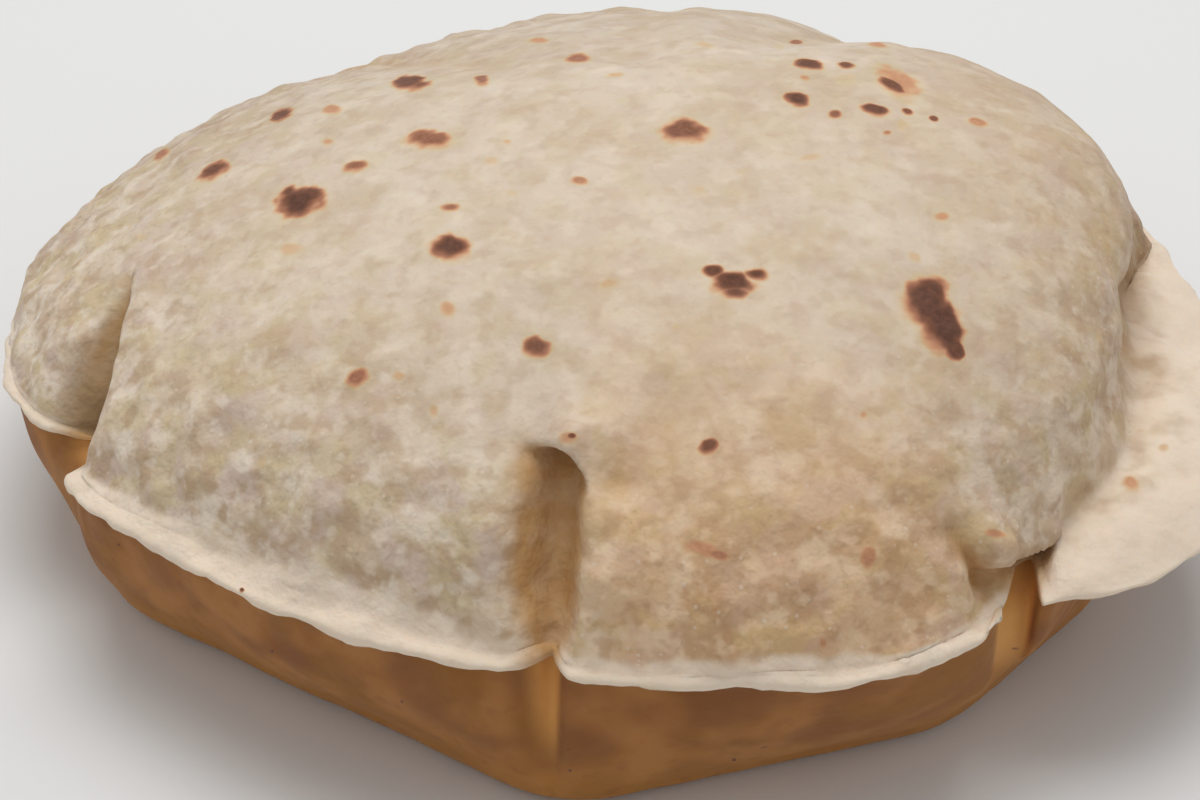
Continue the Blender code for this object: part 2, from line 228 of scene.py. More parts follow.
corner_places, corner_sizes, near = closed_table(FOOT_CORNERS, 1)
to_near = np.radians(RING - corner_places[near])
to_far = np.radians(corner_places[near + 1] - RING)
straight_foot = corner_sizes[near] * corner_sizes[near + 1] * np.sin(to_near + to_far)
straight_foot /= corner_sizes[near] * np.sin(to_near) + corner_sizes[near + 1] * np.sin(to_far)

wall, reach, seam, fullness = (round_the_seam(column) for column in (1, 2, 3, 4))
foot = evened(straight_foot, CORNER_SOFTNESS)
broad_wall = evened(wall, BROADNESS)
fullness = evened(fullness, BROADNESS)
lip_width = reach - wall
flap = smooth_step(*FLAP_WIDTHS, lip_width)
roll = sum(size * np.exp(-((turn_between(middle, RING) / width) ** 2)) for middle, width, size in ROLLS)
thickness = LIP_THICKNESS + (FLAP_THICKNESS - LIP_THICKNESS) * flap + roll
seam = seam + roll
root = seam + FLAP_FALL * lip_width * flap + ROLL_CLIMB * roll
flare = np.minimum(ROOT_FLARE, FLARE_SHARE * lip_width) + FLAP_FLARE * smooth_step(*FLARING_WIDTHS, lip_width)
under = np.minimum(wall + UNDER_SHARE * np.minimum(lip_width, UNDER_REACH), reach - UNDER_MARGIN)

# The rim frays as it is rolled and dries: it runs in and out a little, and up and down
RIM_FRAY = ((12.0, 0.60), (3.6, 0.22))  # wavelength, and how far in or out
RIM_WAVE = ((16.0, 0.55), (5.0, 0.22))  # wavelength, and how far up or down
RIM_RADIUS = 84.0
FRAY_SEED = 3.1
WAVE_SEED = 8.7
WAVING_WIDTHS = (1.5, 4.0)  # from which width of the lip to which it waves


def rim_noise(waves, seed):
    """Noise of some wavelengths and heights all the way round the rim."""
    values = np.zeros_like(RING)
    for length, size in waves:
        circle = heading(RING) * RIM_RADIUS / length
        values += size * np.array([noise.noise(Vector(place) + Vector((0.0, 0.0, seed))) for place in circle])
    return values


reach = reach + rim_noise(RIM_FRAY, FRAY_SEED)
wave = rim_noise(RIM_WAVE, WAVE_SEED) * smooth_step(*WAVING_WIDTHS, lip_width)


def dome(bearing, rise):
    """The plain dome, for a rise from 0 at the root of its wall to 1 at the crown."""
    base, full = at(bearing, root), at(bearing, fullness)
    broad = at(bearing, broad_wall)
    above = (CROWN_HEIGHT - base) * rise
    lobe = (at(bearing, wall) - broad) * np.exp(-((above / LOBE_HEIGHT) ** 2))
    radius = (broad + lobe) * np.maximum(1.0 - rise**full, 0.0) ** (1.0 / full)
    place = heading(bearing) * radius[:, None] + CROWN_OFFSET * (rise**CROWN_DRIFT)[:, None]
    place[:, 2] = base + above
    return place


AIMS = 4  # how many times a bearing is corrected for the drift of the dome's middle


def on_dome(bearing, above):
    """The place on the plain dome at a true bearing and a height above the seam."""
    aim = np.array([float(bearing)])
    for _ in range(AIMS):
        place = dome(aim, above / (CROWN_HEIGHT - at(aim, root)))
        aim += turn_between(np.degrees(np.arctan2(place[:, 1], place[:, 0])), bearing)
    return place[0]


# The folds. The rim was too long for the dome, so the wall gathered into tucks that run up from the seam,
# each a hollow with sharp or sloping flanks, and the skin stands out over its top in a small knob.

# bearing, mouth: where it starts, and how far from the middle; turn: how far it points past the middle
# lean, bend: how far it shifts to the right as it climbs, with the height and with its third power
# depth, floor: its depth and half the width of its flat bottom, at the seam and then higher up
# flanks, falls: width of its left and its right slope, and how much lower its top is to each side
# top, closing: height at which it has ended, and over how much height it ends
# below, reach: share of its depth that goes on under the lip, and how far from its mouth it pulls
FOLDS = (
    {"bearing": -154.4, "mouth": 84.0, "turn": 0.0, "lean": -0.25, "bend": -0.0035,
     "depth": (10.0, 12.0), "floor": (0.0, 0.0), "flanks": (5.0, 1.5),
     "top": 16.3, "falls": (0.7, 0.0), "closing": 3.5, "below": 0.15},
    {"bearing": -94.4, "mouth": 80.0, "turn": 0.0, "lean": 0.05, "bend": 0.0,
     "depth": (5.0, 9.5), "floor": (0.0, 1.2), "flanks": (3.8, 1.0),
     "top": 19.8, "falls": (-0.14, 0.5), "closing": 2.6, "below": 0.8},
    {"bearing": -52.8, "mouth": 88.0, "turn": -46.0, "lean": 0.0, "bend": 0.0,
     "depth": (13.0, 10.0), "floor": (1.8, 1.8), "flanks": (0.7, 0.6),
     "top": 3.0, "falls": (-0.7, 0.8), "closing": 1.8, "below": 0.3, "reach": (9.0, 17.0)},
    {"bearing": 126.0, "mouth": 82.0, "turn": 0.0, "lean": 0.15, "bend": 0.0,
     "depth": (5.0, 6.0), "floor": (0.0, 0.0), "flanks": (5.0, 7.0),
     "top": 11.0, "falls": (0.8, 0.8), "closing": 3.0, "below": 0.6},
    {"bearing": 79.0, "mouth": 82.0, "turn": 0.0, "lean": -0.15, "bend": 0.0,
     "depth": (5.0, 6.0), "floor": (0.0, 0.0), "flanks": (6.0, 3.0),
     "top": 10.0, "falls": (0.6, 0.6), "closing": 3.0, "below": 0.6},
    {"bearing": 48.0, "mouth": 81.0, "turn": 0.0, "lean": 0.05, "bend": 0.0,
     "depth": (6.0, 6.0), "floor": (0.0, 0.0), "flanks": (4.0, 6.0),
     "top": 11.0, "falls": (0.8, 0.8), "closing": 3.0, "below": 0.6},
)
FLANK_CURVE = 1.5  # how steeply the flanks round into the wall
FOLD_OPENING = 8.0  # height over which depth and floor go from their first size to their second
BELOW_LIP = 5.0  # the lip turns back out of a fold over this much below the seam
BELOW_END = (4.0, 28.0)  # from where to where below the seam a fold fades out
FOLD_REACH = (50.0, 60.0)  # from where to where the pull of a fold without a reach of its own ends


def leaning(fold, raised):
    """How far along the wall a fold has leaned at each height above the seam."""
    return fold["lean"] * raised + fold["bend"] * raised**3


# softer creases: bearing and height above the seam where deepest and where it fades, depth, half width
FURROWS = (
    ((-88.3, 18.8), (-82, 24.5), 1.6, 3.2),
    ((-99, 20), (-106, 25), 0.9, 5.0),
    ((-53.6, 3), (-55.9, 10.2), 4.4, 2.2),
    ((126, 8), (127, 30), 2.2, 7.0),
    ((79, 9), (78, 34), 2.4, 6.0),
    ((48, 9), (49, 30), 2.2, 7.0),
    ((-13, 6), (8, 14), 2.4, 6.0),
    ((-14.5, 7), (-13.5, 22), 1.8, 4.5),
    ((-117.5, 7.6), (-115.5, 7.6), 1.0, 3.2),
)
FURROW_FADING = 0.6  # how much of its depth a furrow loses towards its end
FURROW_SHADE = 0.95  # how far a furrow is painted brown as shade, next to a fold of the same depth
# bearing, height above the seam, lift, half width
KNOBS = (
    (-93.8, 20.8, 2.4, 3.6),
    (-51.6, 6.5, 2.6, 3.0),
    (126, 12, 1.0, 4.0),
    (78, 12, 1.0, 4.0),
)


def tucked(place, above):
    """How the folds pull the skin in at each place, with its height above the seam."""
    raised = np.maximum(above, 0.0)
    opened = smooth_step(0.0, FOLD_OPENING, raised)
    pull = np.zeros_like(place)
    for fold in FOLDS:
        outwards = heading(fold["bearing"])
        inwards = heading(fold["bearing"] + 180.0 + fold["turn"])
        to_right = np.array((inwards[1], -inwards[0], 0.0))
        from_mouth = place - outwards * fold["mouth"]
        across = from_mouth @ to_right - leaning(fold, raised)
        right = across > 0
        depth, floor = (first + (later - first) * opened for first, later in (fold["depth"], fold["floor"]))
        top = fold["top"] - np.where(right, fold["falls"][1], fold["falls"][0]) * np.abs(across)
        top = np.maximum(top, fold["closing"])
        closed = 1 - smooth_step(top - fold["closing"], top, above)
        share = fold["below"] + (1 - fold["below"]) * smooth_step(-BELOW_LIP, 0.0, above)
        depth = depth * np.where(above >= 0, closed, share * smooth_step(-BELOW_END[1], -BELOW_END[0], above))
        flank = np.where(right, fold["flanks"][1], fold["flanks"][0])
        away = np.maximum(np.abs(across) - floor, 0.0) / flank
        depth = depth * np.exp(-(away**FLANK_CURVE))
        depth = depth * (1 - smooth_step(*fold.get("reach", FOLD_REACH), np.abs(from_mouth @ inwards)))
        pull += inwards * depth[:, None]
    return pull


furrow_ends = [(on_dome(*start), on_dome(*end), depth, width) for start, end, depth, width in FURROWS]
knob_places = [(on_dome(bearing, above), lift, width) for bearing, above, lift, width in KNOBS]


def soft_relief(place):
    """How far the furrows and knobs lift the dome at each place, and the furrows' part of it."""
    lift = np.zeros(len(place))
    for start, end, depth, width in furrow_ends:
        run = end - start
        along = np.clip((place - start) @ run / (run @ run), 0.0, 1.0)
        off = np.linalg.norm(place - start - along[:, None] * run, axis=1) / width
        lift -= depth * (1 - FURROW_FADING * along) * np.exp(-(off**2))
    furrow = -lift
    for middle, rise, width in knob_places:
        off = np.linalg.norm(place - middle, axis=1) / width
        lift += rise * np.exp(-(off**2))
    return lift, furrow


# The skin is laid from the middle of the base, round the foot and the lip, and up to the crown
BASE, FOOT, LOWER_WALL, LIP_UNDERSIDE, LIP_EDGE, LIP_TOP, DOME = range(7)
ROWS = (3, 6, 14, 6, 6, 12, 104)  # how many rows each of these has
COLUMNS = 640
FOLD_CROWDING = 1.2  # how much more closely the columns lie at a fold
FOLD_SPREAD = 7.0  # degrees to each side over which they do
LEAN_SPREAD = 30.0  # degrees to each side over which the columns lean with a fold
TURN_SPREAD = 12.0  # and over which they turn with it
TURN_REACH = 12.0  # how far from a fold's mouth they go on turning
ROW_CROWDING = 1.25  # how much closer together the dome's rows lie by the seam


def leant(bearing, above):
    """The bearing that a column has come to at a height, as it follows the leaning folds."""
    for fold in FOLDS:
        share = np.exp(-((turn_between(fold["bearing"], bearing) / LEAN_SPREAD) ** 2))
        bearing = bearing + np.degrees(leaning(fold, np.minimum(above, fold["top"])) / fold["mouth"]) * share
    return bearing


def turned(bearing, radius):
    """The bearing that a column has come to at a distance from the middle, beside folds that are turned."""
    for fold in FOLDS:
        share = np.exp(-((turn_between(fold["bearing"], bearing) / TURN_SPREAD) ** 2))
        off = np.clip(radius - fold["mouth"], -TURN_REACH, TURN_REACH) * math.tan(math.radians(fold["turn"]))
        bearing = bearing + np.degrees(off / fold["mouth"]) * share
    return bearing


def section_line(bearing, stage, t):
    """Distance from the middle and height along a section, up to the root of the dome."""
    thick, height, base = at(bearing, thickness), at(bearing, seam), at(bearing, root)
    edge = at(bearing, reach) - thick / 2
    below = at(bearing, under)
    stand = at(bearing, foot)
    lifted = at(bearing, wave)
    turn = t * FOOT_TURN
    foot_top = FOOT_ROUNDING * (1 - math.cos(FOOT_TURN))
    puffed = FLAP_PUFF * at(bearing, flap) * np.sin(np.pi * t)
    stages = [stage == part for part in (BASE, FOOT, LOWER_WALL, LIP_UNDERSIDE, LIP_EDGE)]
    radius = np.select(
        stages,
        [
            t * (stand - FOOT_ROUNDING * math.sin(FOOT_TURN)),
            stand - FOOT_ROUNDING * (math.sin(FOOT_TURN) - np.sin(turn)),
            stand + (below - stand) * t + LOWER_BULGE * np.sin(np.pi * t),
            below + (edge - below) * t,
            edge + thick / 2 * np.sin(np.pi * t),
        ],
        edge + (at(bearing, wall) - edge) * t,
    )
    level = np.select(
        stages,
        [
            np.zeros_like(t),
            FOOT_ROUNDING * (1 - np.cos(turn)),
            foot_top + (base - thick - foot_top) * t,
            base - thick + (height - base) * t + lifted * t,
            height - thick / 2 - thick / 2 * np.cos(np.pi * t) + lifted,
        ],
        height + (base - height) * t + lifted * (1 - t) + puffed,
    )
    return radius, level


def skin(bearing, girth):
    """Places of the surface, how deep each lies in a fold, and its height above the seam."""
    stage = np.minimum(girth.astype(int), DOME)
    on_top = stage == DOME
    t = girth - stage
    radius, _ = section_line(bearing, stage, np.where(on_top, 1.0, t))
    bearing = turned(bearing, radius)
    radius, level = section_line(bearing, stage, t)
    out = heading(bearing)
    place = out * radius[:, None] + np.array(UP) * level[:, None]
    above = np.minimum(level - at(bearing, seam), 0.0)
    flared = at(bearing, flare) * t * (stage == LIP_TOP)

    rise = np.sin(t[on_top] ** ROW_CROWDING * np.pi / 2) ** (2.0 / at(bearing, fullness)[on_top])
    followed = leant(bearing[on_top], (CROWN_HEIGHT - at(bearing, root)[on_top]) * rise)
    place[on_top] = dome(followed, rise)
    above[on_top] = place[on_top, 2] - at(followed, root)
    pull = tucked(place, above)
    out[on_top] = heading(followed)
    flare_height = FLARE_HEIGHT + FLAP_FLARE_HEIGHT * at(followed, flap)
    flared[on_top] = at(followed, flare) * np.exp(-above[on_top] / flare_height)
    turned_up = smooth_step(0.0, 1.0, rise)[:, None]
    normal = out[on_top] * (1 - turned_up) + np.array(UP) * turned_up
    normal /= np.linalg.norm(normal, axis=1)[:, None]
    relief, furrow = soft_relief(place[on_top])
    place[on_top] += normal * relief[:, None]
    place += out * flared[:, None]
    tuck = np.linalg.norm(pull, axis=1)
    tuck[on_top] += FURROW_SHADE * furrow
    return place + pull, tuck, above


def spread_columns(count):
    """Bearings of the columns, crowded together at the folds."""
    density = np.ones_like(RING)
    for fold in FOLDS:
        density += FOLD_CROWDING * np.exp(-((turn_between(fold["bearing"], RING) / FOLD_SPREAD) ** 2))
    run = np.concatenate(((0.0,), np.cumsum(density)))
    return np.interp(np.arange(count) * run[-1] / count, run, np.append(RING, 360.0))


girths = [0.0]
for stage, count in enumerate(ROWS):
    girths += [stage + (i + 1) / count for i in range(count)]
girths = np.array(girths)
rows = len(girths) - 1

# A grid is rolled into a ball and closed, and each of its points is then moved to its place on the bread
SAME_POINT = 1e-5
bread_bm = bmesh.new()
bmesh.ops.create_grid(bread_bm, x_segments=COLUMNS, y_segments=rows, size=1.0)
for vert in bread_bm.verts:
    longitude, latitude = vert.co.x * math.pi, vert.co.y * math.pi / 2
    level = math.cos(latitude)
    vert.co = (math.cos(longitude) * level, math.sin(longitude) * level, math.sin(latitude))
bmesh.ops.remove_doubles(bread_bm, verts=bread_bm.verts, dist=SAME_POINT)
bread_bm.verts.ensure_lookup_table()
ball = np.array([vert.co for vert in bread_bm.verts])
longitude = np.degrees(np.arctan2(ball[:, 1], ball[:, 0])) % 360.0
latitude = np.degrees(np.arcsin(np.clip(ball[:, 2], -1.0, 1.0)))
column = np.round(longitude * COLUMNS / 360.0).astype(int) % COLUMNS
row = np.round((latitude + 90.0) * rows / 180.0).astype(int)
girth = girths[row]
place, tuck, above_seam = skin(spread_columns(COLUMNS)[column], girth)
place = (place + np.array(SEAM_MIDDLE)) * MM
for vert, spot in zip(bread_bm.verts, place):
    vert.co = spot

# The floured surface. The skins dried unevenly over the fire: they are lumpy, blistered low on the walls,
# where the dough was thickest, and wrinkled where they were pinched into the lip and the folds.
# wavelength, height on the crown and height low on the walls, in millimetres
LUMPS = ((22.0, 0.40, 0.55), (7.0, 0.22, 1.05), (3.4, 0.08, 0.44), (2.0, 0.03, 0.14))
LUMP_RISE = 18.0  # how far up the wall the lumps of the walls fade out
OFF_EDGE = (LIP_EDGE, LIP_TOP + 0.5)  # from where to where on the lip they set in
WRINKLE_WIDTH = 2.4
WRINKLE_LENGTH = 9.0
WRINKLE_DEPTH = 0.16
WRINKLE_RISE = 7.0  # how far up the wall they fade out
WRINKLE_LEAST = 0.05  # where less than this share is left, there are none
WRINKLE_SEED = 5.0
BLISTERS = 520
BLISTER_WIDTHS = (0.9, 2.6)
BLISTER_RISE = 0.16  # a blister's height, as a share of its width
BLISTER_SKIRT = 2.2  # how far it runs out, in widths
BLISTER_REACH = 24.0  # height on the wall above which there are few
BLISTER_LEVELS = (1.0, 33.0)  # lowest and highest of all
BLISTER_STRAY = 2.5 * MM  # one that misses the skin by more than this is left out
draw = random.Random(41)

lift = np.zeros(len(place))
off_edge = smooth_step(*OFF_EDGE, girth)
walled = np.exp(-((np.maximum(above_seam, 0.0) / LUMP_RISE) ** 2)) * off_edge
for length, high, low in LUMPS:
    scale = 1.0 / (length * MM)
    size = high + (low - high) * walled
    lift += size * np.array([noise.noise(Vector(spot) * scale) for spot in place])
around = np.degrees(np.arctan2(place[:, 1] - SEAM_MIDDLE.y * MM, place[:, 0] - SEAM_MIDDLE.x * MM))
pinched = np.exp(-np.maximum(above_seam, 0.0) / WRINKLE_RISE) * off_edge
arc = np.radians(around) * RIM_RADIUS
wrinkles = np.zeros(len(place))
for i in np.flatnonzero(pinched > WRINKLE_LEAST):
    wrinkles[i] = noise.noise(Vector((arc[i] / WRINKLE_WIDTH, above_seam[i] / WRINKLE_LENGTH, WRINKLE_SEED)))
lift -= WRINKLE_DEPTH * np.abs(wrinkles) * pinched

finder = KDTree(len(place))
for i, spot in enumerate(place):
    finder.insert(spot, i)
finder.balance()
for _ in range(BLISTERS):
    bearing = draw.uniform(0.0, 360.0)
    above = abs(draw.gauss(0.0, 1.0)) * BLISTER_REACH / 2 + BLISTER_LEVELS[0]
    width = draw.uniform(*BLISTER_WIDTHS)
    middle = (Vector(on_dome(bearing, min(above, BLISTER_LEVELS[1]))) + SEAM_MIDDLE) * MM
    nearest, _, gap = finder.find(middle)
    if gap > BLISTER_STRAY:
        continue
    for _, i, off in finder.find_range(nearest, BLISTER_SKIRT * width * MM):
        lift[i] += BLISTER_RISE * width * math.exp(-((off / (width * MM)) ** 2))

# the lip is frayed all along, with torn crumbs on its edge: wavelength and height
LIP_LUMPS = ((9.0, 0.70), (3.6, 0.45), (1.7, 0.20))
LIP_SEED = Vector((7.0, 0.0, 0.0))
LIP_BELOW = (LIP_UNDERSIDE + 0.4, LIP_EDGE)  # from where to where this sets in, and where it ends
LIP_ABOVE = (DOME + 0.01, DOME + 0.06)
at_lip = smooth_step(*LIP_BELOW, girth) * (1 - smooth_step(*LIP_ABOVE, girth))
for i in np.flatnonzero(at_lip > 0.01):
    for length, size in LIP_LUMPS:
        lift[i] += size * at_lip[i] * noise.noise(Vector(place[i]) / (length * MM) + LIP_SEED)

# The base stays flat, and no lump beside it goes through the table. Where the skin is folded or pinched
# its points lie close together, and the lumps are eased there.
CREASE_DEPTH = 0.6
PINCH = (LIP_EDGE + 0.7, LIP_TOP + 0.4)
EASING = 0.5
bread_bm.normal_update()
quiet = smooth_step(FOOT, LOWER_WALL, girth)
for vert, amount in zip(bread_bm.verts, lift * quiet):
    vert.co += vert.normal * amount * MM
    vert.co.z = max(vert.co.z, 0.0)
creased = [vert for vert, deep in zip(bread_bm.verts, tuck) if deep > CREASE_DEPTH]
pinch = [vert for vert, part in zip(bread_bm.verts, girth) if PINCH[0] < part < PINCH[1]]
for eased in (creased, creased, pinch, pinch, pinch, pinch):
    bmesh.ops.smooth_vert(
        bread_bm, verts=eased, factor=EASING, use_axis_x=True, use_axis_y=True, use_axis_z=True)

# The toasted spots. Where the skin touched the hot iron or the flame it browned: pale gold where it was
# brief, reddish round the rims, and nearly black in the middle of the blisters.
# Each as seen from the eye: pixel across, pixel down, length, height, tilt in degrees, and how dark
SPOTS_SEEN = (
    (538, 40, 30, 8, 0, 0.50), (579, 59, 34, 12, 5, 0.66), (410, 82, 42, 16, 3, 0.92),
    (481, 79, 20, 12, 0, 0.70), (282, 115, 28, 14, 25, 0.90), (331, 110, 22, 10, 8, 0.50),
    (328, 142, 18, 8, 5, 0.45), (428, 139, 60, 20, 0, 0.72), (507, 142, 12, 8, 0, 0.34),
    (491, 161, 15, 8, 0, 0.26), (163, 154, 26, 14, 35, 0.62), (213, 171, 42, 18, 28, 0.88),
    (355, 166, 32, 14, 8, 0.70), (300, 202, 55, 34, 14, 1.00), (580, 181, 22, 10, -8, 0.55),
    (450, 208, 22, 10, 6, 0.66), (451, 247, 44, 28, 5, 0.95), (291, 249, 28, 14, 8, 0.32),
    (512, 193, 14, 8, 0, 0.20), (142, 238, 12, 8, 0, 0.24), (448, 309, 20, 18, 0, 0.42),
    (538, 348, 34, 24, 0, 0.80), (357, 378, 32, 20, 25, 0.66), (399, 377, 16, 12, 0, 0.36),
    (609, 284, 26, 13, 6, 0.34), (705, 45, 22, 8, -10, 0.30), (616, 75, 20, 6, 0, 0.34),
    (684, 131, 56, 30, 0, 0.78), (808, 64, 32, 12, -8, 0.95), (845, 65, 22, 8, -8, 0.85),
    (797, 43, 18, 6, 0, 0.70), (780, 47, 14, 8, 0, 0.26), (805, 78, 14, 7, -10, 0.50),
    (796, 99, 30, 18, -15, 0.96), (835, 114, 18, 10, 0, 0.74), (875, 110, 34, 14, -14, 0.92),
    (898, 82, 66, 30, -30, 0.50), (891, 84, 36, 13, -30, 0.88), (845, 80, 32, 16, 0, 0.26),
    (877, 45, 24, 8, -10, 0.52), (908, 112, 16, 8, -15, 0.82), (934, 119, 12, 7, -15, 0.82),
    (887, 133, 12, 7, 0, 0.60), (902, 126, 16, 12, 0, 0.28), (977, 122, 26, 10, -12, 0.52),
    (810, 158, 28, 8, 10, 0.28), (743, 171, 12, 8, 0, 0.18), (700, 190, 18, 10, 0, 0.24),
    (942, 217, 18, 12, 0, 0.46), (914, 257, 20, 10, -35, 0.28), (733, 284, 52, 24, -4, 0.96),
    (712, 271, 26, 16, 0, 0.92), (756, 275, 26, 15, 0, 0.92), (735, 293, 34, 16, 0, 0.86),
    (926, 303, 62, 58, -45, 0.96), (943, 326, 64, 46, -58, 1.00), (954, 350, 30, 26, -60, 0.92),
    (676, 328, 12, 10, 0, 0.24), (1107, 250, 12, 24, 20, 0.36), (434, 411, 12, 16, 0, 0.34),
    (569, 438, 30, 18, 0, 0.44), (572, 436, 14, 9, 0, 0.84), (262, 463, 14, 20, 0, 0.28),
    (242, 590, 6, 6, 0, 0.90), (709, 446, 24, 18, 20, 0.84), (864, 415, 12, 10, 40, 0.40),
    (1164, 448, 12, 10, 0, 0.32), (1131, 483, 18, 16, 0, 0.46), (706, 552, 68, 24, -12, 0.48),
    (719, 556, 36, 16, -8, 0.60), (869, 560, 22, 30, 0, 0.52), (996, 534, 30, 13, -6, 0.52),
    (823, 644, 14, 20, 0, 0.52), (119, 545, 6, 6, 0, 0.90), (272, 652, 6, 5, 0, 0.90),
    (402, 702, 7, 6, 0, 0.80), (568, 750, 7, 6, 0, 0.85), (570, 771, 7, 5, 0, 0.85),
    (597, 756, 18, 6, 0, 0.74), (734, 760, 7, 5, 0, 0.85), (764, 748, 16, 5, 12, 0.74),
    (1015, 649, 12, 5, 0, 0.70), (346, 549, 26, 30, 0, 0.20), (185, 372, 96, 60, -20, 0.12),
)
# the back and the base had their own share: how many, heights in mm, half sizes in mm, darkness
SPOTS_UNSEEN = (
    (26, (34.0, 58.0), (0.9, 3.6), (0.25, 1.0)),
    (22, (4.0, 24.0), (0.6, 2.2), (0.4, 0.9)),
)
BACK_BEARINGS = (20.0, 160.0)
OUTSIDE = 0.3  # well outside the bread, in metres
HIDDEN = 0.1  # skin that faces the eye by more than this may be seen
BASE_SPOTS = 34
BASE_SPOT_REACH = 66.0
BASE_SPOT_HALVES = (1.0, 5.0)
BASE_SPOT_DARKS = (0.35, 1.0)
SPOT_WIDTHS = (0.4, 0.9)  # of these, as a share of their length
LEAST_FACING = 0.15  # on skin that is seen more edge on than this a spot is drawn out no further

crust = BVHTree.FromBMesh(bread_bm)
focal = EYE_LENS / EYE_SENSOR * PICTURE_WIDTH
eye_turn = eye_back.to_track_quat("Z", "Y")


def seen_at(across, down):
    """The place of the skin that the eye sees at a pixel."""
    view = Vector((across - PICTURE_WIDTH / 2, PICTURE_HEIGHT / 2 - down, -focal))
    hit = crust.ray_cast(eye.location, (eye_turn @ view).normalized())
    return hit[0], hit[1]


spots = []
for across, down, length, height, tilt, dark in SPOTS_SEEN:
    middle, normal = seen_at(across, down)
    if middle is None:
        continue
    sight = (middle - eye.location).normalized()
    facing = max(abs(normal.dot(sight)), LEAST_FACING)
    slope = math.radians(tilt)
    pixel = (middle - eye.location).dot(-eye_back) / focal
    axes = []
    long_way, short_way = (math.cos(slope), math.sin(slope), 0.0), (-math.sin(slope), math.cos(slope), 0.0)
    for way, size in ((long_way, length), (short_way, height)):
        ray = eye_turn @ Vector(way) * pixel * size / 2
        flat = ray - sight * (ray.dot(normal) / sight.dot(normal))
        if flat.length > ray.length / facing:
            flat = flat.normalized() * ray.length / facing
        axes.append(flat)
    spots.append((middle, axes[0], axes[1], dark))


def own_spot(middle, normal, half, dark):
    """A spot of no picture: a round or long one that lies along the skin."""
    way = Vector((draw.uniform(-1, 1), draw.uniform(-1, 1), draw.uniform(-1, 1)))
    first = normal.cross(way).normalized()
    second = normal.cross(first)
    spots.append((middle, first * half * MM, second * half * draw.uniform(*SPOT_WIDTHS) * MM, dark))


for count, heights, halves, darks in SPOTS_UNSEEN:
    for _ in range(count):
        bearing, height = draw.uniform(*BACK_BEARINGS), draw.uniform(*heights) * MM
        out = Vector(heading(bearing))
        middle, normal, _, _ = crust.ray_cast(out * OUTSIDE + UP * height, -out)
        if middle is None or normal.dot(eye_back) > HIDDEN:
            continue
        own_spot(middle, normal, draw.uniform(*halves), draw.uniform(*darks))
for _ in range(BASE_SPOTS):
    bearing, off = draw.uniform(0.0, 360.0), BASE_SPOT_REACH * math.sqrt(draw.random()) * MM
    middle = Vector(heading(bearing)) * off
    own_spot(middle, -UP, draw.uniform(*BASE_SPOT_HALVES), draw.uniform(*BASE_SPOT_DARKS))

# Each point of the skin keeps where it lies in the nearest spot: along it, across it, and how dark it is.
# Spots that lie close together go to separate layers, so that none of them meets another in its layer.
SPOT_RIM = 1.35  # half sizes from a spot's middle at which it has faded out
SPOT_MARGIN = 2.2  # how much farther its darkness is kept, and again how much farther its measures, in mm
SPOT_ROOM = 4 * SPOT_MARGIN  # between the rims of two spots in one layer, in mm
SPOT_BEHIND = 8.0 * MM  # how far off its plane a spot still colours the skin


def clear_of(spot, layer):
    """Whether a spot lies far enough from all others of a layer."""
    for other in layer:
        room = SPOT_RIM * (max(spot[1].length, spot[2].length) + max(other[1].length, other[2].length))
        if (spot[0] - other[0]).length < room + SPOT_ROOM * MM:
            return False
    return True


layers = []
for spot in sorted(spots, key=lambda spot: -spot[1].length):
    free = [layer for layer in layers if clear_of(spot, layer)]
    if not free:
        free = [[]]
        layers.append(free[0])
    free[0].append(spot)

spot_fields = []
for layer in layers:
    field = np.zeros((len(place), 3))
    nearest = np.full(len(place), np.inf)
    for middle, first, second, dark in layer:
        normal = first.cross(second).normalized()
        along, across = second.cross(normal), normal.cross(first)
        rim = SPOT_RIM * max(first.length, second.length) + SPOT_MARGIN * MM
        for _, i, off in finder.find_range(middle, rim + SPOT_MARGIN * MM):
            away = bread_bm.verts[i].co - middle
            if off - rim < nearest[i] and abs(away.dot(normal)) < SPOT_BEHIND:
                nearest[i] = off - rim
                u, v = away.dot(along) / first.dot(along), away.dot(across) / second.dot(across)
                field[i] = (u, v, dark * (off < rim))
    spot_fields.append(field)

# Painted shade and light in the dough's colour. The lower skin lay on the iron first and is browner than the
# dome:
# its own baked tone, with painted shade and painted warm reflected light in it. The insides of the folds are
# painted brown as shade, and the thin lip is paler, partly its own tone and partly painted light on its
# upward faces.
bread_mesh = bpy.data.meshes.new("phulka_skin")
bread_bm.to_mesh(bread_mesh)
bread_bm.free()
bread_mesh.shade_smooth()
TUCK_FULL = 7.0  # the depth in a fold, in mm, against which its painted shade is measured
LOWER_TOP = LIP_EDGE + 0.3  # where on the edge of the lip the brown of the lower skin ends
LOWER_SOFTNESS = (0.02, 0.25)  # and how softly
INSIDE = (0.02, 0.50)  # from which share of that to which the inside of a fold is painted brown, as shade
GROOVE = (0.15, 0.50)  # the same under the lip, where a fold's groove is painted a lighter orange, as painted light
LEFT_FOLD = (0.0, 0.20)  # and in the deep fold at the left, painted a darker brown as shade
LEFT_FOLD_SPREAD = 11.0  # degrees to each side to which its painted darker shade reaches
LIP_START = (LIP_EDGE, LIP_EDGE + 0.5)  # from where to where on the lip its paleness sets in
LIP_BAND = (4.0, 24.0)  # how far in from the edge of the flap its paleness fades, in mm
LIP_SOFTNESS = 1.4  # how far up the wall the lip's paleness runs out, in mm
ROLL_SOFTNESS = 2.6  # and how much farther over a roll, for each mm of its thickness
WALL_FADING = (4.0, 32.0)  # from where to where up the wall its strong mottling dies down, in mm
FLAP_CALM = 0.75  # how much of that mottling the flap does without
FLAP_RISE = (0.5, 6.0)  # from where to where the flap gives way to the wall, in mm
WARM_BEARINGS = (-98.0, -86.0, -64.0, -46.0)  # the front walls of the dome are painted warmer and darker between these, as warm shade
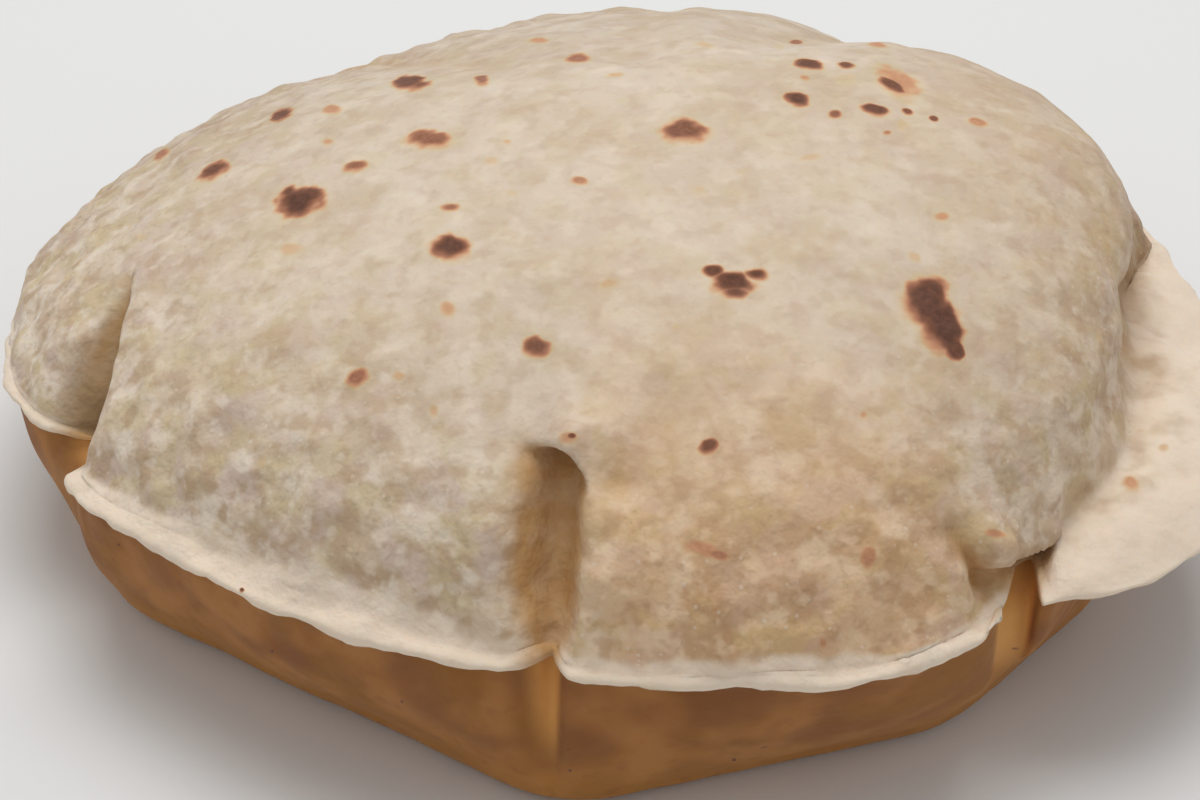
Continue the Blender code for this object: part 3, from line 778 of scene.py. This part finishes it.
WARM_START = (LIP_TOP + 0.5, DOME + 0.02)  # from where to where on the lip that sets in
WARM_RISE = (12.0, 36.0)  # and from where to where up the wall it fades, in mm
VALLEY_BEARING = 2.0  # where the dome meets the flap in a valley painted brown as shade
VALLEY_SPREAD = 11.0  # degrees to each side to which it reaches
VALLEY_START = (LIP_TOP + 0.6, DOME)  # from where to where on the flap it sets in
VALLEY_RISE = 13.0  # how far up the wall it fades, in mm


def near_bearing(bearing, spread):
    """A share that is 1 at a bearing and falls off softly to each side."""
    return np.exp(-((turn_between(bearing, around) / spread) ** 2))


deep = tuck / TUCK_FULL
lower = smooth_step(*LOWER_SOFTNESS, LOWER_TOP - girth)
# painted shade: how far the insides of the folds and furrows are painted brown
inside = smooth_step(*INSIDE, deep) * (girth > LIP_UNDERSIDE)
groove = smooth_step(*GROOVE, deep) * (girth <= LIP_UNDERSIDE)
# painted shade: a darker brown in the deep fold at the left
left_fold_shade = smooth_step(*LEFT_FOLD, deep) * smooth_step(LIP_TOP, DOME, girth)
left_fold_shade *= near_bearing(FOLDS[0]["bearing"], LEFT_FOLD_SPREAD)
# the paleness of the lip and the flap: partly their own tone, partly painted light on their upward faces
lip_pale_and_lit = smooth_step(*LIP_START, girth)
softness = LIP_SOFTNESS + ROLL_SOFTNESS * at(around, roll)
lip_pale_and_lit *= np.where(girth > DOME, 1 - smooth_step(0.0, 1.0, above_seam / softness), 1.0)
from_edge = at(around, reach) - np.hypot(place[:, 0] / MM - SEAM_MIDDLE.x, place[:, 1] / MM - SEAM_MIDDLE.y)
lip_pale_and_lit *= 1 - smooth_step(*LIP_BAND, from_edge - tuck)
on_flap = at(around, flap) * (1 - smooth_step(*FLAP_RISE, above_seam))
steep = (1 - smooth_step(*WALL_FADING, above_seam)) * off_edge * (1 - FLAP_CALM * on_flap)
# painted warm shade on the front walls of the dome
start, full, fading, end = WARM_BEARINGS
warm_shade = smooth_step(start, full, around) * (1 - smooth_step(fading, end, around))
warm_shade *= (1 - smooth_step(*WARM_RISE, above_seam)) * smooth_step(*WARM_START, girth)
valley = near_bearing(VALLEY_BEARING, VALLEY_SPREAD) * smooth_step(*VALLEY_START, girth)
valley *= np.exp(-((np.maximum(above_seam, 0.0) / VALLEY_RISE) ** 2))
for name, values in (
    ("lower", lower), ("inside", inside), ("groove", groove), ("lip", lip_pale_and_lit),
    ("steep", steep), ("warm_shade", warm_shade), ("left_fold_shade", left_fold_shade), ("valley", valley),
):
    bread_mesh.attributes.new(name, "FLOAT", "POINT").data.foreach_set("value", values)
for number, field in enumerate(spot_fields):
    layer_data = bread_mesh.attributes.new(f"spots_{number}", "FLOAT_VECTOR", "POINT").data
    layer_data.foreach_set("vector", field.ravel())

finish = bpy.data.materials.new("baked_dough")
finish.use_nodes = True
nodes, links = finish.node_tree.nodes, finish.node_tree.links
shader = nodes["Principled BSDF"]
coordinates = nodes.new("ShaderNodeTexCoord").outputs["Object"]


def join(value, socket):
    """A value or another node's output goes into a socket."""
    if isinstance(value, bpy.types.NodeSocket):
        links.new(value, socket)
    else:
        socket.default_value = value


def grain(size, detail=2.0, roughness=0.5):
    """Noise of a size in millimetres, from 0 to 1."""
    node = nodes.new("ShaderNodeTexNoise")
    node.inputs["Scale"].default_value = 1.0 / (size * MM)
    node.inputs["Detail"].default_value = detail
    node.inputs["Roughness"].default_value = roughness
    links.new(coordinates, node.inputs["Vector"])
    return node.outputs["Fac"]


def maths(operation, *values):
    node = nodes.new("ShaderNodeMath")
    node.operation = operation
    for value, socket in zip(values, node.inputs):
        join(value, socket)
    return node.outputs["Value"]


def times(first, second):
    return maths("MULTIPLY", first, second)


def between(value, low, high, bottom=0.0, top=1.0):
    """A value from low to high turned smoothly into one from bottom to top."""
    node = nodes.new("ShaderNodeMapRange")
    node.interpolation_type = "SMOOTHSTEP"
    join(value, node.inputs["Value"])
    for name, number in (("From Min", low), ("From Max", high), ("To Min", bottom), ("To Max", top)):
        node.inputs[name].default_value = number
    return node.outputs["Result"]


def blended(share, first, second, way="MIX"):
    """The first colour with a share of the second over it."""
    node = nodes.new("ShaderNodeMix")
    node.data_type = "RGBA"
    node.blend_type = way
    join(share, node.inputs["Factor"])
    sockets = [socket for socket in node.inputs if socket.type == "RGBA"]
    join(first, sockets[0])
    join(second, sockets[1])
    return next(socket for socket in node.outputs if socket.type == "RGBA")


def attribute(name, output="Fac"):
    node = nodes.new("ShaderNodeAttribute")
    node.attribute_name = name
    return node.outputs[output]


SPECK_SOFTNESS = 0.12  # how softly a speck ends, as a share of the room between specks


def dots(size, spread, share):
    """Sparse round specks: their greatest radius and how far apart, in millimetres, and how many show."""
    node = nodes.new("ShaderNodeTexVoronoi")
    node.inputs["Scale"].default_value = 1.0 / (spread * MM)
    links.new(coordinates, node.inputs["Vector"])
    chosen = nodes.new("ShaderNodeSeparateColor")
    links.new(node.outputs["Color"], chosen.inputs["Color"])
    reach = between(chosen.outputs["Red"], 1.0 - share, 1.0, 0.0, size / spread)
    return between(maths("SUBTRACT", node.outputs["Distance"], reach), -SPECK_SOFTNESS, 0.0, 1.0, 0.0)


# tones of the floured skin and its patches, of its painted shade and painted light, and of the lower skin
CREAM = (0.705, 0.595, 0.470, 1.0)
WHEAT = (0.660, 0.535, 0.400, 1.0)
FLOUR = (0.800, 0.695, 0.570, 1.0)
BUFF = (0.490, 0.340, 0.215, 1.0)
LILAC = (0.640, 0.500, 0.420, 1.0)
STRAW = (0.640, 0.520, 0.310, 1.0)
WARM_WALL = (0.670, 0.520, 0.370, 1.0)
WARM_SHADE_TINT = (1.030, 0.880, 0.720, 1.0)
LEFT_FOLD_SHADE_BROWN = (0.260, 0.170, 0.085, 1.0)
VALLEY_SHADE = (0.640, 0.530, 0.420, 1.0)
BACK_SHADE = (0.840, 0.835, 0.840, 1.0)
RIGHT_SHADE = (0.900, 0.850, 0.800, 1.0)
PALE_LIT_LIP = (0.860, 0.730, 0.590, 1.0)
FOLD_SHADE_BROWN = (0.500, 0.275, 0.098, 1.0)
# painted shade and warm reflected light: the lower skin's browns are darker and warmer than its own tone
LOWER_BROWN = (0.300, 0.126, 0.032, 1.0)
LOWER_TAN = (0.410, 0.180, 0.055, 1.0)
LOWER_DARK = (0.220, 0.080, 0.028, 1.0)
LOWER_LIT_ORANGE = (0.540, 0.240, 0.050, 1.0)
GROOVE_LIT_ORANGE = (0.700, 0.340, 0.100, 1.0)
BRAN = (0.240, 0.150, 0.085, 1.0)

# small patches: size in mm, from where to where in the noise, how strong on the walls, and their tone
PATCHES = (
    (12.0, 0.46, 0.60, 0.60, BUFF),
    (7.0, 0.47, 0.62, 0.75, LILAC),
    (6.0, 0.48, 0.62, 0.70, STRAW),
    (5.0, 0.49, 0.66, 0.75, FLOUR),
    (3.6, 0.49, 0.66, 0.70, BUFF),
    (2.4, 0.52, 0.72, 0.60, FLOUR),
    (1.5, 0.54, 0.74, 0.45, BUFF),
)
CROWN_MOTTLING = 0.35  # how strong the patches are on the crown, next to the walls
WALL_WARMTH = 0.75
BACK = (-15.0 * MM, 55.0 * MM)  # from where to where the crust turns darker towards the back
RIGHT = (25.0 * MM, 72.0 * MM)  # and towards the right
LOW_DOWN = (2.0 * MM, 16.0 * MM)  # and over what height the lower skin is painted lighter and more orange, as warm reflected light
CRUMBS = (0.38, 1.4, 0.5)  # of flour: greatest radius, how far apart, and how many show
BRAN_SPECKS = (0.16, 1.9, 0.30)  # the same of bran
CRUMB_PALENESS = 0.4
BRAN_DARKNESS = 0.5
LIP_FRAYING = 0.30  # how far the paleness of the lip runs in and out
LIP_PALENESS = 0.80
FOLD_SHADE_SHARES = (0.72, 0.95)  # how much of the inside of a fold is painted brown as shade
LEFT_FOLD_SHADE_DARKNESS = 0.85

steepness = attribute("steep")
mottling = maths("MULTIPLY_ADD", steepness, 1 - CROWN_MOTTLING, CROWN_MOTTLING)
colour = blended(between(grain(26.0, 3.0), 0.38, 0.66), CREAM, WHEAT)
colour = blended(times(steepness, WALL_WARMTH), colour, WARM_WALL)
for size, low, high, strength, tone in PATCHES:
    patch = times(between(grain(size, 2.0, 0.45), low, high), mottling)
    colour = blended(times(patch, strength), colour, tone)
# painted warm shade: the front walls are tinted warmer and darker
colour = blended(attribute("warm_shade"), colour, WARM_SHADE_TINT, "MULTIPLY")
where = nodes.new("ShaderNodeSeparateXYZ")
links.new(coordinates, where.inputs["Vector"])
colour = blended(between(where.outputs["Y"], *BACK), colour, BACK_SHADE, "MULTIPLY")
colour = blended(between(where.outputs["X"], *RIGHT), colour, RIGHT_SHADE, "MULTIPLY")
bare = maths("SUBTRACT", 1.0, maths("MAXIMUM", attribute("lower"), attribute("inside")))
crumbs = times(dots(*CRUMBS), times(mottling, bare))
colour = blended(times(crumbs, CRUMB_PALENESS), colour, FLOUR)
colour = blended(times(dots(*BRAN_SPECKS), BRAN_DARKNESS), colour, BRAN)
frayed = between(grain(5.0, 2.0), 0.25, 0.75, -LIP_FRAYING, LIP_FRAYING)
pale = between(maths("ADD", attribute("lip"), frayed), 0.10, 0.90)
# painted light: the lip and the flap are paler, partly their own tone and partly light on their upward faces
colour = blended(times(pale, LIP_PALENESS), colour, PALE_LIT_LIP)
# painted shade: brown in patches inside the folds and furrows
painted_fold_shade = times(attribute("inside"), between(grain(3.5, 2.0), 0.3, 0.7, *FOLD_SHADE_SHARES))
colour = blended(painted_fold_shade, colour, FOLD_SHADE_BROWN)
# painted shade in the deep fold at the left
colour = blended(times(attribute("left_fold_shade"), LEFT_FOLD_SHADE_DARKNESS), colour, LEFT_FOLD_SHADE_BROWN)
colour = blended(attribute("valley"), colour, VALLEY_SHADE, "MULTIPLY")

# the lower skin is brown and tan, darker in places: its own baked tone with painted shade and painted warm
# reflected light in it, and painted light makes it orange down by its foot and in its grooves
lit_low_down = between(where.outputs["Z"], *LOW_DOWN, 1.0, 0.0)
# the lower skin's own tone, with painted shade and painted warm reflected light
lower_baked_and_shaded = blended(between(grain(13.0, 2.0), 0.40, 0.60), LOWER_BROWN, LOWER_TAN)
lower_baked_and_shaded = blended(times(between(grain(11.0, 1.0), 0.40, 0.72), 0.75), lower_baked_and_shaded, LOWER_DARK)
# painted warm light: lighter orange down by the foot
lower_baked_and_shaded = blended(times(lit_low_down, 0.60), lower_baked_and_shaded, LOWER_LIT_ORANGE)
lower_baked_and_shaded = blended(times(between(grain(3.0, 2.0), 0.50, 0.75), 0.30), lower_baked_and_shaded, LOWER_DARK)
# painted light: the grooves under the folds are painted a lighter orange
lower_baked_and_shaded = blended(attribute("groove"), lower_baked_and_shaded, GROOVE_LIT_ORANGE)
colour = blended(attribute("lower"), colour, lower_baked_and_shaded)

# A spot is darkest a little behind its middle, where the blister stood highest, and its rim is redder.
# Of its two rings: how far behind the middle, from where to where it fades, and its share of the dark,
# in half sizes of the spot. Its rim is ragged, more so in broad bites than in fine ones.
SPOT_RINGS = ((0.0, 0.64, 1.24, 0.56), (0.16, 0.34, 0.98, 0.44))
BROAD_BITE = 0.18
FINE_BITE = 0.03
broad_bites = between(grain(2.6, 1.0), 0.2, 0.8, -BROAD_BITE, BROAD_BITE)
fine_bites = between(grain(0.7, 1.0), 0.2, 0.8, -FINE_BITE, FINE_BITE)
ragged = maths("ADD", broad_bites, fine_bites)
toast = None
for number in range(len(layers)):
    parts = nodes.new("ShaderNodeSeparateXYZ")
    links.new(attribute(f"spots_{number}", "Vector"), parts.inputs["Vector"])
    u, v, dark = (parts.outputs[name] for name in ("X", "Y", "Z"))
    rings = []
    for shift, low, high, share in SPOT_RINGS:
        off = maths("SUBTRACT", v, shift)
        far = maths("SQRT", maths("ADD", times(u, u), times(off, off)))
        rings.append(between(maths("ADD", far, ragged), low, high, share, 0.0))
    value = times(dark, maths("ADD", *rings))
    toast = value if toast is None else maths("MAXIMUM", toast, value)
uneven = between(grain(0.7, 2.0), 0.2, 0.8, -0.08, 0.05)
toast = maths("ADD", toast, times(toast, uneven))

# how dark a place is toasted, how much of the skin's own colour that hides, and its colour
TOASTING = (
    (0.00, 0.00, (0.700, 0.540, 0.330)),
    (0.15, 0.45, (0.690, 0.520, 0.320)),
    (0.30, 0.80, (0.680, 0.440, 0.250)),
    (0.46, 0.95, (0.600, 0.305, 0.165)),
    (0.62, 1.00, (0.400, 0.175, 0.100)),
    (0.78, 1.00, (0.225, 0.092, 0.052)),
    (1.00, 1.00, (0.110, 0.046, 0.028)),
)
ramps = []
for shows_colour in (False, True):
    ramp = nodes.new("ShaderNodeValToRGB")
    links.new(toast, ramp.inputs["Fac"])
    points = ramp.color_ramp.elements
    while len(points) < len(TOASTING):
        points.new(0.5)
    for point, (darkness, hiding, tone) in zip(points, TOASTING):
        point.position = darkness
        point.color = (*tone, 1.0) if shows_colour else (hiding, hiding, hiding, 1.0)
    ramps.append(ramp.outputs["Color"])
colour = blended(ramps[0], colour, ramps[1], "DARKEN")
links.new(colour, shader.inputs["Base Color"])

# Light goes a little way into dough, and its dry flour is nearly without gloss
for socket, value in (
    ("Metallic", 0.0), ("IOR", 1.40), ("Specular IOR Level", 0.3), ("Sheen Weight", 0.04),
    ("Subsurface Weight", 0.18), ("Subsurface Radius", (1.0, 0.55, 0.30)), ("Subsurface Scale", 2.2 * MM),
):
    shader.inputs[socket].default_value = value
ROUGHNESS = (0.68, 0.88)
links.new(between(grain(5.0, 3.0), 0.35, 0.7, *ROUGHNESS), shader.inputs["Roughness"])

# the relief that is too fine for the mesh: size of its noise in mm, detail and roughness, and its depths
COARSE_GRAIN = (2.2, 2.0, 0.5)
FINE_GRAIN = (0.9, 3.0, 0.6)
COARSE_DEPTH = 0.60 * MM
FINE_DEPTH = 0.14 * MM
CRUMB_DEPTH = 0.03 * MM
coarse = times(maths("SUBTRACT", grain(*COARSE_GRAIN), 0.5), mottling)
fine = times(maths("SUBTRACT", grain(*FINE_GRAIN), 0.5), mottling)
bumps = None
for height, depth in ((coarse, COARSE_DEPTH), (fine, FINE_DEPTH), (crumbs, CRUMB_DEPTH)):
    bump = nodes.new("ShaderNodeBump")
    bump.inputs["Distance"].default_value = depth
    bump.inputs["Strength"].default_value = 1.0
    links.new(height, bump.inputs["Height"])
    if bumps:
        links.new(bumps, bump.inputs["Normal"])
    bumps = bump.outputs["Normal"]
links.new(bumps, shader.inputs["Normal"])

bread_mesh.materials.append(finish)
bread = bpy.data.objects.new("phulka_skin", bread_mesh)
bpy.context.scene.collection.objects.link(bread)
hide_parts("phulka")
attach(bread, "root")

bpy.context.view_layer.update()
